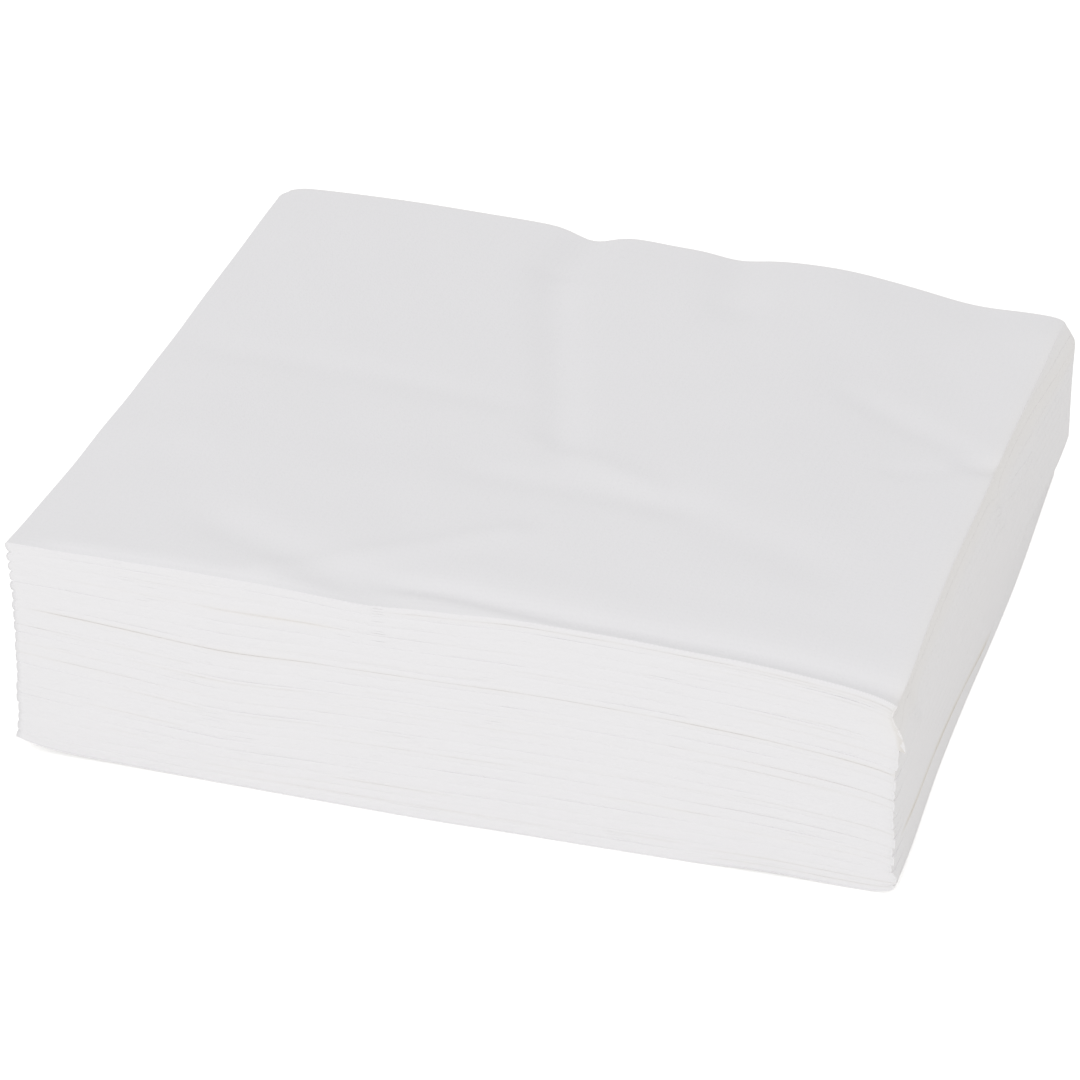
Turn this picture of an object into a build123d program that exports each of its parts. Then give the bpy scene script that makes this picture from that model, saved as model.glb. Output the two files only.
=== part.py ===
from build123d import *
import math
import os

# A stack of paper napkins. Each is one square sheet, folded in half and then in half again.
# Millimetres, with the origin at the middle of the underside. +Z is up, +X points to the closed second
# fold, +Y to the first fold, and the cut edges of the four panels lie at -X and -Y.

# The sheet and its folds
SHEET_SIDE = 330.0
PANEL_THICKNESS = 0.32
FIRST_FOLD_GAP = 0.11
FIRST_FOLD_CHAMFER = 0.2
SECOND_FOLD_GAP = 0.1

# The stack: how many napkins, the gap between two where they are pressed together, the height that the
# spring of the paper adds away from the closed fold, and the height that it adds at the front cut edges
NAPKIN_COUNT = 20
RESTING_GAP = 0.1
LOFT_TO_SIDE = 5.2
LOFT_TO_FRONT = 4.2

# How far from the closed fold the napkins start to droop towards it
DROOP_LENGTH = 52.0

# How far a napkin may lie out of line with the stack
SLIP = 0.6

SIDE = SHEET_SIDE / 2
PAIR = 2 * PANEL_THICKNESS + FIRST_FOLD_GAP
NAPKIN = 2 * PAIR + SECOND_FOLD_GAP
PITCH = NAPKIN + RESTING_GAP
DROOP_START = SIDE / 2 - DROOP_LENGTH
FOLD_CENTRE = SIDE / 2 - NAPKIN / 2
SIDE_LOFT_EACH = LOFT_TO_SIDE / (NAPKIN_COUNT - 1)
FRONT_LOFT_EACH = LOFT_TO_FRONT / (NAPKIN_COUNT - 1)
GOLDEN_ANGLE = math.pi * (3 - math.sqrt(5))


class Napkin:
    """One folded napkin, laid level from front to back, as high as its place in the stack puts it."""

    def __init__(self, index):
        across = SLIP * math.sin(index * GOLDEN_ANGLE)
        self.cut_x = across - SIDE / 2
        self.back = SLIP * math.cos(index * GOLDEN_ANGLE) + SIDE / 2
        self.lean = math.degrees(math.atan(index * FRONT_LOFT_EACH / SIDE))
        self.pressed_base = index * PITCH
        self.loft = SIDE_LOFT_EACH if index else 0.0
        self.base = self.pressed_base + max(index - 1, 0) * SIDE_LOFT_EACH
        self.middle = self.base + (NAPKIN + self.loft) / 2
        self.fold_centre, self.droop = self.fold(FOLD_CENTRE + across)

    def fold(self, x):
        """Centre of the second fold, on the arc that the middle of the napkin droops along, and its slope."""
        run = FOLD_CENTRE - DROOP_START
        drop = self.middle - self.pressed_base - NAPKIN / 2
        if drop == 0:
            return Vector(x, 0, self.middle), 0.0
        radius = (run ** 2 + drop ** 2) / (2 * drop)
        droop = math.asin((x - DROOP_START) / radius)
        return Vector(x, 0, self.middle - radius * (1 - math.cos(droop))), droop

    def layer(self, height, end):
        """Edges of one side of a panel from its cut edge to the second fold: level, then an arc down."""
        start = Vector(self.cut_x, end.Y, height)
        droop_start = Vector(DROOP_START, end.Y, height)
        if self.droop == 0:
            return [Edge.make_line(start, end)]
        return [
            Edge.make_line(start, droop_start),
            Edge.make_tangent_arc(droop_start, Vector(1, 0, 0), end),
        ]

    def turn(self, depth, open_depth, y, rounded=True):
        """Edges of one side of the sheet, along the lower panel, round the second fold and back.

        depth is how far that side lies inside the napkin at the fold, and open_depth at the cut edge.
        """
        radius = NAPKIN / 2 - depth
        centre = self.fold_centre + Vector(0, y, 0)
        outward = Vector(math.cos(self.droop), 0, -math.sin(self.droop))
        upward = Vector(math.sin(self.droop), 0, math.cos(self.droop))
        low = centre - upward * radius
        high = centre + upward * radius
        if rounded:
            bend = Edge.make_three_point_arc(low, centre + outward * radius, high)
        else:
            bend = Edge.make_line(low, high)
        lower = self.layer(self.base + open_depth, low)
        upper = self.layer(self.base + NAPKIN + self.loft - open_depth, high)
        return lower + [bend] + upper

    def band(self, outer, inner, y, rounded_inside=True):
        """Face between two sides of the sheet, each given as its depth at the fold and at the cut edge."""
        top = 2 * self.base + NAPKIN + self.loft
        heights = [self.base + outer[1], self.base + inner[1]]
        cuts = []
        for ends in (heights, [top - height for height in heights]):
            cuts.append(Edge.make_line(*[Vector(self.cut_x, y, height) for height in ends]))
        return Face(Wire(self.turn(*outer, y) + self.turn(*inner, y, rounded_inside) + cuts))

    def solid(self):
        """The doubled sheet taken round the second fold, opened between its panels up to the first fold."""
        slack = self.loft / 2
        front = self.back - SIDE
        shoulder = self.back - FIRST_FOLD_CHAMFER
        inside = PANEL_THICKNESS + FIRST_FOLD_GAP
        pair = ((0, 0), (PAIR, PAIR + slack))
        slot = ((PANEL_THICKNESS, PANEL_THICKNESS), (inside, inside + slack))
        chamfered = (
            (FIRST_FOLD_CHAMFER, FIRST_FOLD_CHAMFER),
            (PAIR - FIRST_FOLD_CHAMFER, PAIR + slack - FIRST_FOLD_CHAMFER),
        )
        sheet = Solid.extrude(self.band(*pair, front, False), Vector(0, shoulder - front, 0))
        opening = Solid.extrude(self.band(*slot, front), Vector(0, SIDE - PANEL_THICKNESS, 0))
        first_fold = Solid.make_loft(
            [
                self.band(*pair, shoulder, False).outer_wire(),
                self.band(*chamfered, self.back, False).outer_wire(),
            ],
            True,
        )
        level = sheet.fuse(first_fold).cut(opening)
        return level.rotate(Axis((0, SIDE / 2, self.pressed_base), (1, 0, 0)), -self.lean)


os.makedirs("parts", exist_ok=True)
for number in range(NAPKIN_COUNT):
    export_step(Napkin(number).solid(), f"parts/napkin_{number + 1:02d}.step")
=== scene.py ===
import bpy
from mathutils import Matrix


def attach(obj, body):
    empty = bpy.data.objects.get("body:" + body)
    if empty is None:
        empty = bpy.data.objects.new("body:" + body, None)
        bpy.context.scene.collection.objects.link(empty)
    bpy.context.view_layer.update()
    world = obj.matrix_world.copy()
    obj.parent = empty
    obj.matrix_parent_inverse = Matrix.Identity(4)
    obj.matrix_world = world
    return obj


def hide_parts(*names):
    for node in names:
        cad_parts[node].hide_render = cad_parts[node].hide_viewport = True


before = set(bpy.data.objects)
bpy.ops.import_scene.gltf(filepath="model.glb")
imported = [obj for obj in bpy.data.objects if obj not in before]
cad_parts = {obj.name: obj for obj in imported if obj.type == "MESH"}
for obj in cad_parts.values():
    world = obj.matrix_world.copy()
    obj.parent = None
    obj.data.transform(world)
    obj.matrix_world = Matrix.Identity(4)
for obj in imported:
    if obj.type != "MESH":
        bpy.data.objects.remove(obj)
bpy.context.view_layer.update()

import math

import bpy
import numpy as np
from mathutils import Matrix, Vector
from mathutils.geometry import delaunay_2d_cdt

bl_info = {
    "name": "Stack of paper napkins",
    "version": (1, 0, 0),
    "blender": (4, 5, 0),
    "location": "View3D > Sidebar > Napkins",
    "description": "Folds white tissue napkins in quarters and lays them in a loose stack",
    "category": "Object",
}

# Names that the frame gives
BODY = "root"
NODES = sorted(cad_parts)

# The stack. Lengths are in millimetres, and levels count single layers of paper from the floor up.
MM = 0.001
PANELS = 4
LEVELS = PANELS * len(NODES)
HALF_SIDE = 82.5
SIDE = 2 * HALF_SIDE
CORNER = 83
LEAST_HEIGHT = 0.02

# The sheet and its folds: thickness, the length that bends on each side of a fold, how far a fold stands out
# for each layer in it, and how far past its bend a point still counts as part of it
SHEET_THICKNESS = 0.4
FIRST_FOLD_TURN = 0.5
SECOND_FOLD_TURN = 1.3
FIRST_FOLD_REACH = 0.25
SECOND_FOLD_REACH = 0.4
FOLD_SQUARENESS = 0.05
FOLD_MARGIN = 0.1

# Heights in layers of the middle of a sheet, of the first fold and of the second fold, and how near a fold
# comes to the faces of its napkin
SHEET_MIDDLE = 0.5
FIRST_FOLD_LEVEL = 1.0
SECOND_FOLD_LEVEL = 2.0
FOLD_CLEARANCE = 0.02

# Distances between the points of a sheet, how fast they grow away from its edges and folds, the rows of
# points across a fold, and how many napkins under the top one have closer points
FINE_STEP = 0.65
CLOSE_STEP = 1.3
MIDDLE_STEP = 2.6
WIDE_STEP = 10.4
STEP_GROWTH = 0.7
FOLD_ROWS = 8
CREASED_NAPKINS = 3

# Splitting of a panel into squares: rows at the start, rows of the smallest squares, and the four parts
FIRST_ROWS = 16
SMALLEST_ROWS = 256
QUARTERS = np.array(((0, 0), (1, 0), (0, 1), (1, 1)))

# Slack for lengths that may be the same, as a factor, in digits of a metre and in metres
JUST_OVER = 1.01
PLACE_DIGITS = 9
PLACE_SLACK = 1e-9
LIP_SLACK = 2e-9

# Half the thickness of a sheet as a share of its layer: inside it, what is added near its edges and folds,
# how far that reaches, and at its rim. The middle of the rim stands out by the bulge.
INNER_SHARE = 0.43
EDGE_SHARE = 0.069
EDGE_SHARE_REACH = 3.0
RIM_SHARE = 0.499
RIM_BULGE = 0.02

# Soft lines through measured points: reach, step, steps on each side that are averaged, and softness
LINE_REACH = 110.0
LINE_STEP = 0.5
LINE_TAIL = 40
LINE_SOFTNESS = 4.0

# Uneven waves: how many are added, the shortest and longest as shares of the length asked for, and how high
# their sum comes as a share of their number
WAVE_COUNT = 5
WAVE_LENGTHS = (0.55, 1.7)
WAVE_SUM = 0.62

# Heights of the top of the stack along its four edges
FRONT_HEIGHTS = (
    (-83, 43.8), (-70, 44.5), (-46, 44.5), (-26, 43.6), (-13, 42.6), (0, 42.6), (12, 42.9), (30, 42.5),
    (45, 41.8), (58, 41.2), (73, 39.7), (83, 38.1),
)
BACK_HEIGHTS = (
    (-83, 40.9), (-58, 41.2), (-28, 40.1), (0, 38.6), (23, 38.5), (40, 38.3), (65, 34.1), (83, 34.4),
)
LEFT_HEIGHTS = ((-83, 43.6), (-60, 42.1), (-24, 40.9), (10, 40.4), (45, 40.8), (83, 40.9))
RIGHT_HEIGHTS = ((-83, 38.1), (-59, 40.9), (-31, 40.8), (9, 38.6), (41, 36.6), (70, 35.8), (83, 34.4))

# How far the layers halfway up lie above or below their even places along the front, in layers. Then the
# softness of that line, the share of it that stays far from the front, and how fast the rest fades.
LAYER_SAG = (
    (-83, 2.8), (-78, 1.7), (-70, 0.1), (-62, -1.2), (-50, -3.2), (-42, -4.2), (-34, -3.4), (-25, -1.9),
    (-10, -0.5), (20, -0.2), (40, -0.6), (55, -1.5), (70, -2.8), (80, -3.9), (83, -4.6),
)
SAG_SOFTNESS = 2.5
SAG_BEHIND = 0.4
SAG_FADE = 60

# How far the lower layers dip along the closed folds: pairs of Y and a share of the height of the stack.
# Then the share of the height where they dip most, and how far in from the folds the dip fades.
WALL_DIP = (
    (-83, 0), (-77, 0.012), (-64, 0.071), (-46, 0.098), (-25, 0.142), (-11, 0.184), (4, 0.239), (20, 0.24),
    (50, 0.15), (83, 0.1),
)
WALL_DIP_SHARE = 0.3
WALL_DIP_FADE = 12

# The lowest napkins turn up at the front left corner: rises and their reaches, and the power of the fade up
# the stack
TIP_LIFTS = ((2.5, 4.6), (0.8, 20))
TIP_LIFT_FADE = 6

# The lowest folds turn up at the front right corner: rise, and fades up the stack, inwards and backwards
FOOT_LIFT = (1.1, 0.05, 1.6, 25)

# The front right corner sinks: depth, fades inwards and backwards, and the share of the stack it sets in over
CORNER_SINK = (0.7, 2.4, 14, 0.2)

# A swell low in the front: height, power of the fade up the stack, middle, half width and fade backwards
LOW_SWELL = (0.5, 4, 60, 11, 12)

# Valley behind the front lip of the top napkins: pairs of X and distance from the front edge
LIP_VALLEY = ((-14, 8.4), (-1, 8.0), (12, 5.3), (27, 4.1), (47, 3.8), (65, 3.5), (83, 3.2))

# The lip: where it starts, how fast it sets in, and its rises and dip (place from the valley, height and
# half width)
LIP_START = -20
LIP_RUN = 16
LIP_SHAPE = ((-4.4, 0.5, 2.2), (0, -1.1, 2.3), (7.5, 0.5, 6.0))

# Creases of the top napkin: start, end, height and half width, and how far past its ends each fades
TOP_CREASES = (
    ((-68, 7), (-14, 2), -0.45, 5.0),
    ((3, -13), (-16, 54), -1.0, 4.5),
    ((-17.5, 65), (-15, 86), -2.0, 5.0),
    ((-6, 60), (-4, 84), 0.25, 6.0),
    ((0, -14), (23, -26), 0.5, 4.0),
    ((-5, -29), (29, -32), -0.6, 5.0),
    ((29, -32), (57, -45), -0.6, 7.0),
    ((-33, -76), (3, -52), 0.8, 3.6),
    ((-44, -65), (-14, -79), -1.0, 5.8),
    ((83, 8), (54, 26), -0.6, 4.5),
    ((83, 8), (66, -1), -0.5, 3.2),
    ((86, 8), (78, 8), -0.7, 3.5),
    ((20, 60), (15, 84), -1.1, 6.0),
    ((-70, -30), (-20, -36), 0.25, 9.0),
)
CREASE_END = 1.4

# Corners of the top napkins that sink (place, depth and reach), their wide waves (direction, length and
# seed) and the height of these, and the share of the stack from where and over which all of this sets in
SOFT_CORNERS = ((-CORNER, CORNER, 0.8, 2.5), (CORNER, CORNER, 0.7, 5.0), (CORNER, -CORNER, 0.9, 4.0))
TOP_WAVES = ((0.8, 0.5, 26, 11), (-0.4, 0.9, 31, 12))
TOP_WAVE_HEIGHT = 0.10
TOP_SHARE = (0.80, 0.19)

# The top front edge falls off on the left: depth and reach, share of the stack from where and over which,
# and left and right ends with the lengths they set in over
EDGE_FALL = (0.9, 1.7)
EDGE_FALL_SHARE = (0.93, 0.07)
EDGE_FALL_LEFT = (-82, 14)
EDGE_FALL_RIGHT = (-8, 20)

# Gaps that show between layers: layer, start and end along the edge, and opening
FRONT_GAPS = (
    (54, -82, -18, 0.056), (54, -24, 46, 0.034), (54, 36, 98, 0.046),
    (68, -50, -16, 0.075), (68, -76, -42, 0.014), (68, -20, 22, 0.008),
    (43, -64, -22, 0.030), (43, -28, 26, 0.012), (44, 36, 98, 0.022),
    (36, -96, -54, 0.026), (36, -60, -16, 0.010), (41, 42, 98, 0.022),
    (31, -68, -42, 0.030), (31, -48, -4, 0.014), (29, 4, 60, 0.010), (30, 50, 98, 0.020),
    (26, -28, 0, 0.018), (26, -6, 16, 0.030), (22, -72, -46, 0.028), (20, 24, 54, 0.030),
    (24, 40, 98, 0.008), (16, 48, 84, 0.020), (14, -68, -54, 0.018), (11, -26, 6, 0.028),
    (8, -50, -16, 0.018), (5, -48, 24, 0.022), (7, 26, 48, 0.022), (6, 44, 98, 0.030),
    (3, 46, 98, 0.028), (78, -14, 96, 0.030), (77, 44, 96, 0.018), (75, -68, -34, 0.010),
    (73, -62, -28, 0.010), (75, 42, 96, 0.014), (63, 50, 80, 0.018), (65, 58, 80, 0.016),
    (57, -38, 18, 0.009), (46, -22, 28, 0.008), (62, 6, 42, 0.010), (39, -34, 26, 0.012),
    (47, -96, -42, 0.016), (40, -96, -58, 0.014), (60, 50, 98, 0.018), (51, 60, 98, 0.014),
    (19, 58, 98, 0.016), (71, 40, 90, 0.008),
)
LEFT_GAPS = (
    (72, -60, 20, 0.10), (56, -60, 60, 0.12), (44, -20, 70, 0.08), (60, 20, 76, 0.08),
    (32, -56, 10, 0.08), (20, -10, 74, 0.08), (64, -66, -24, 0.06), (12, -52, 30, 0.06),
)
RIGHT_GAPS = ((24, -80, 12, 0.12),)
BACK_GAPS = ((60, -70, 30, 0.10), (36, -20, 70, 0.07), (20, -60, 10, 0.06), (72, -10, 60, 0.08))

# Form of a gap: length of its soft ends, or the share of a short gap, how uneven it is and over what length,
# how deep it goes, and how its opening is shared by the layers above and below and fades up and down
GAP_END = 10.0
GAP_END_SHARE = 0.4
GAP_UNEVEN = 0.3
GAP_WAVE = 22
GAP_DEPTH = 4
LIFT_ABOVE = 0.6
LIFT_BELOW = 0.4
LIFT_FADE = 0.04

# Painted shade in a gap: what its lips take of the painted warm shade and of the painted dark shade for each
# millimetre that it is open, the most of each, and the layers over which they fade, also for the painted warm
# shade in the closed folds
GAP_WARM_SHADE = 2.4
MOST_WARM_SHADE = 0.6
GAP_DARK_SHADE = 2.2
MOST_DARK_SHADE = 0.4
DARK_SHADE_LAYERS = 0.25
WARM_LAYERS = 0.7
WALL_WARM_LAYERS = 2.4

# Small nicks one above the other in the front cut edges: layers, middle, half length, opening and depth
NICKED_LAYERS = (79, 78, 77, 76, 74, 72, 70, 69, 66)
NICK_MIDDLE = -11.8
NICK_HALF_LENGTH = 1.7
NICK_OPENING = 0.09
NICK_DEPTH = 2

# Corners of the napkins that are worn round: side in X, side in Y and radius
ROUNDED_CORNERS = ((1, 1, 3.2), (-1, 1, 5.7), (1, -1, 0.8))

# Near a fold the cut edges keep in line over the first length, and what moves an edge fades over the second
FOLD_HOLD = 9
EDGE_FADE = 3

# How far the outer layers of a napkin draw in at the left cut edges: low in the stack, what is added higher
# up, from which napkin and over how many, how napkins differ, and the share of it for the top panel
SCALLOP_LOW = 0.2
SCALLOP_GAIN = 0.71
SCALLOP_FROM = 9
SCALLOP_RUN = 9
SCALLOP_RANGE = (0.8, 1.2)
TOP_PANEL_SHARE = 0.3

# Front ends of the closed folds: how far their outer layers draw in, and how far they stand out
NOTCH_RANGE = (0.0, 0.45)
JUT_RANGE = (-0.3, 0.15)

# How far the outer layers draw in at the front cut edges: everywhere, what is added in places, the length,
# bias and seed step of these, and the share of it at the left end, from where and over what length
PLUMP = 0.04
PLUMP_GAIN = 0.10
PLUMP_WAVE = 45
PLUMP_BIAS = 0.3
PLUMP_SEED = 17
PLUMP_LEFT_SHARE = 0.3
PLUMP_LEFT = (-80, 30)

# Slips of single panels: seed step, most, waves of the edge (height, length and seed step) and their fade
PANEL_SEED = 100
PANEL_SLIP = 0.01
PANEL_WAVES = ((0.014, 40, 1), (0.006, 7, 3))
PANEL_FADE = 7

# Ripples that thin and lift the cut edges: height in layers, fade, bias, and the length and seed step of
# their clusters, which two napkins share, of the thin places and of the lifts
RIPPLE_HEIGHT = 0.035
RIPPLE_FADE = 2.4
RIPPLE_BIAS = 0.1
CLUSTER_WAVE = (26, 31)
CLUSTER_NAPKINS = 2
THIN_WAVE = (18, 5)
LIFT_WAVE = (7, 7)

# How far a napkin slips and turns, across and along, and how far in the closed folds hold it in line
NAPKIN_SLIP = (0.16, 0.06)
NAPKIN_TURN = (0.0006, 0.0004)
WALL_HOLD = 30

# Slides of the stack: the upper napkins to the left (length, and share of the stack from where and over
# which), the front left tip of the top ones (the same, and reach) and of the lowest (length, fade, reach)
UPPER_SLIDE = (0.9, 0.55, 0.45)
TOP_TIP_SLIDE = (0.35, 0.95, 0.05, 7)
LOW_TIP_SLIDE = (0.9, 0.035, 8)

# The lower napkins spread to the front: length, power of the fade up the stack, and the places in X and Y
# from where and over which it grows
FRONT_SPREAD = (1.9, 1.3)
FRONT_SPREAD_RIGHT = (-75, 80)
FRONT_SPREAD_FRONT = (20, 80)

# Wall of closed folds: how far in its wide shape reaches, and how far in its pleats and tone do
WALL_REACH = 6
FOLD_REACH = 2

# Waves of the wall: height, slant, length, seed step, and the height from where and over which they set in
WALL_WAVES = (0.15, 3, 60, 5)
WALL_WAVES_FROM = (4, 8)

# Hollow under the top of the wall: depth, place below the top, half width, and where it ends at the back
WALL_HOLLOW = (1.4, 3.4, 2.4)
WALL_HOLLOW_END = (78, 36)

# Swells at the foot of the wall: height, middle and half width, and the power of the fade up the stack
FOOT_SWELLS = ((1.0, 30, 40), (0.9, -75, 25))
FOOT_SWELL_FADE = 2

# Bulge of the wall at the back: height, and from where and over which it grows in Y, in Z and below the top
WALL_BULGE = 2.5
WALL_BULGE_BACK = (20, 55)
WALL_BULGE_UP = (5, 4)
WALL_BULGE_BELOW = (-0.6, 5)

# Painted warm shade in the hollow under the top of the wall: most of it, place below the top and half width
WALL_WARM_SHADE = (0.24, 4.5, 4.5)

# Small pleats in the closed folds, seen from the right: start and end in Y and Z, height and half width
WALL_PLEATS = (
    ((-71.5, 32.9), (-66.5, 26.0), 0.9, 1.7),
    ((38.6, 27.5), (25.4, 24.9), 0.9, 1.8),
    ((7.4, 30.9), (17.0, 21.1), 0.8, 1.8),
)

# Folds that stand out low at the front right corner: reach, share of the stack, half width, how far in front
# of the edge they start, and fades backwards and inwards
LOW_EAR = (1.3, 0.09, 0.035, 2, 4, 2.5)

# Napkins whose closed folds stand out higher at the front right corner: how far the lowest does, power of the
# change up to the highest, fades backwards and inwards, drop, painted shade in the hollow, and where the
# hollow is
EAR_NAPKINS = (16, 17, 18)
EAR_REACH = 1.3
EAR_CHANGE = 1.3
EAR_FADE = (2.2, 2.5)
EAR_DROP = 0.4
EAR_HOLLOW_SHADE = 0.25
EAR_HOLLOW_START = 0.5
EAR_HOLLOW_DEPTH = 1

# Painted warm shade deep between the layers: where it starts from the cut edges, over what length, and on the
# folds
DEEP_START = 0.3
DEEP_RUN = 1.2
FOLD_WARM_SHADE = 0.08

# Tissue: tones of its darkest and palest spots, scale and detail of its noises, how much they change the
# shade, how much of the fibres is pressed flat at the rim and in the folds, and its plain values
TISSUE_TONES = (0.93, 1.07)
CLOUD_NOISE = (28, 3.0)
GRAIN_NOISE = (900, 2.0)
FIBRE_NOISE = (1500, 4.0)
CLOUD_TONE = 0.05
GRAIN_TONE = 0.05
NOISE_MIDDLE = 0.5
PRESSED_FLAT = 0.85
TISSUE_FINISH = {
    "Roughness": 0.95,
    "Specular IOR Level": 0.15,
    "Sheen Weight": 0.05,
    "Sheen Roughness": 0.6,
}

# Stage, in metres: floor, its glow and its plain values, soft light in front, and camera
WHITE = (1, 1, 1, 1)
FLOOR_HALF = 3.0
FLOOR_LEVEL = -0.0001
FLOOR_GLOW = 0.42
FLOOR_FINISH = {"Roughness": 1.0, "Specular IOR Level": 0.0, "Emission Color": WHITE}
KEY_SIZE = (1.2, 0.8)
KEY_PLACE = (-0.55, -1.6, 0.75)
KEY_TARGET = (0, 0, 0.02)
SENSOR_WIDTH = 36.0
CLIP_START = 0.01


class NapkinSettings(bpy.types.PropertyGroup):
    """Sizes and colours of the napkins."""

    sheet_side: bpy.props.FloatProperty(
        name="Sheet side", description="Side of the open square sheet", default=2 * SIDE * MM, unit="LENGTH")
    sheet_thickness: bpy.props.FloatProperty(
        name="Sheet thickness", description="Thickness of the flat sheet before it is pressed into the stack",
        default=SHEET_THICKNESS * MM, unit="LENGTH", precision=5)
    first_fold_turn: bpy.props.FloatProperty(
        name="First fold turn", description="Length of paper on each side of the first fold that bends",
        default=FIRST_FOLD_TURN * MM, unit="LENGTH", precision=5)
    second_fold_turn: bpy.props.FloatProperty(
        name="Second fold turn", description="Length of paper on each side of the second fold that bends",
        default=SECOND_FOLD_TURN * MM, unit="LENGTH", precision=5)
    fold_squareness: bpy.props.FloatProperty(
        name="Fold squareness", description="1 is a round fold, and less is a fold pressed flat",
        default=FOLD_SQUARENESS)
    ripple: bpy.props.FloatProperty(
        name="Edge ripple", description="How unevenly the cut edges lie on each other", default=1.0)
    openness: bpy.props.FloatProperty(
        name="Openness", description="How far the gaps between layers stand open", default=1.0)
    dot_pitch: bpy.props.FloatProperty(
        name="Dot pitch", description="Distance between the pressed dots",
        default=2.4 * MM, unit="LENGTH", precision=5)
    dot_height: bpy.props.FloatProperty(
        name="Dot height", description="Height of the pressed dots",
        default=0.02 * MM, unit="LENGTH", precision=6)
    fibre_height: bpy.props.FloatProperty(
        name="Fibre height", description="Height of the soft fibres",
        default=0.03 * MM, unit="LENGTH", precision=6)
    paper_colour: bpy.props.FloatVectorProperty(
        name="Paper colour", description="Colour of the tissue",
        subtype="COLOR", size=3, min=0, max=1, default=(0.905, 0.897, 0.912))
    # Colour of the painted warm shade deep between the layers, where less light reaches inside the stack
    inside_shade_colour: bpy.props.FloatVectorProperty(
        name="Inside shade colour", description="Painted warm shade deep between the layers",
        subtype="COLOR", size=3, min=0, max=1, default=(0.93, 0.875, 0.775))
    # Colour of the painted shade on the lips of the open gaps between layers
    gap_shade_colour: bpy.props.FloatVectorProperty(
        name="Gap shade colour", description="Painted shade on the lips of the open gaps",
        subtype="COLOR", size=3, min=0, max=1, default=(0.55, 0.47, 0.33))
    seed: bpy.props.IntProperty(name="Seed", description="Start of the chance values", default=7)


class NapkinStageSettings(bpy.types.PropertyGroup):
    """Floor, light and camera."""

    floor_colour: bpy.props.FloatVectorProperty(
        name="Floor colour", description="Colour of the floor",
        subtype="COLOR", size=3, min=0, max=1, default=(0.95, 0.945, 0.93))
    key_power: bpy.props.FloatProperty(
        name="Key light", description="Power of the soft light in front", default=5.2, unit="POWER")
    world_strength: bpy.props.FloatProperty(
        name="Room light", description="Strength of the even light of the room", default=0.775)
    eye: bpy.props.FloatVectorProperty(
        name="Eye", description="Place of the camera",
        subtype="TRANSLATION", size=3, default=(212.41 * MM, -820.75 * MM, 486.24 * MM))
    look_at: bpy.props.FloatVectorProperty(
        name="Look at", description="Point in the middle of the picture",
        subtype="TRANSLATION", size=3, default=(-2.5 * MM, -9.0 * MM, 18.0 * MM))
    roll: bpy.props.FloatProperty(
        name="Roll", description="Turn of the camera about its own axis",
        default=math.radians(1.0), subtype="ANGLE")
    lens: bpy.props.FloatProperty(name="Lens", description="Focal length in millimetres", default=166.97)


class Field:
    """One value in a node tree. Sums and products of fields add Math nodes to the tree."""

    def __init__(self, tree, socket):
        self.tree = tree
        self.socket = socket

    def math(self, operation, *others):
        node = self.tree.nodes.new("ShaderNodeMath")
        node.operation = operation
        for socket, value in zip(node.inputs, (self,) + others):
            join(self.tree, value, socket)
        return Field(self.tree, node.outputs[0])

    def __add__(self, other):
        return self.math("ADD", other)

    def __sub__(self, other):
        return self.math("SUBTRACT", other)

    def __mul__(self, other):
        return self.math("MULTIPLY", other)

    def __truediv__(self, other):
        return self.math("DIVIDE", other)


def join(tree, value, socket):
    """Feeds a field or a plain value into a socket."""
    if isinstance(value, Field):
        tree.links.new(value.socket, socket)
    else:
        socket.default_value = value


def attribute(tree, name, output):
    """Values that the mesh carries under a name."""
    node = tree.nodes.new("ShaderNodeAttribute")
    node.attribute_name = name
    return Field(tree, node.outputs[output])


def mix(tree, factor, first, second):
    """Mixes two colours."""
    node = tree.nodes.new("ShaderNodeMix")
    node.data_type = "RGBA"
    join(tree, factor, node.inputs["Factor"])
    join(tree, first, node.inputs["A"])
    join(tree, second, node.inputs["B"])
    return Field(tree, node.outputs["Result"])


def opaque(colour, tone=1.0):
    """A colour that is not see-through, made darker or paler by its tone."""
    return [min(tone * part, 1.0) for part in colour] + [1.0]


def set_plain(shader, values):
    """Sets values that are the same all over a surface."""
    for name, value in values.items():
        shader.inputs[name].default_value = value


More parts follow.
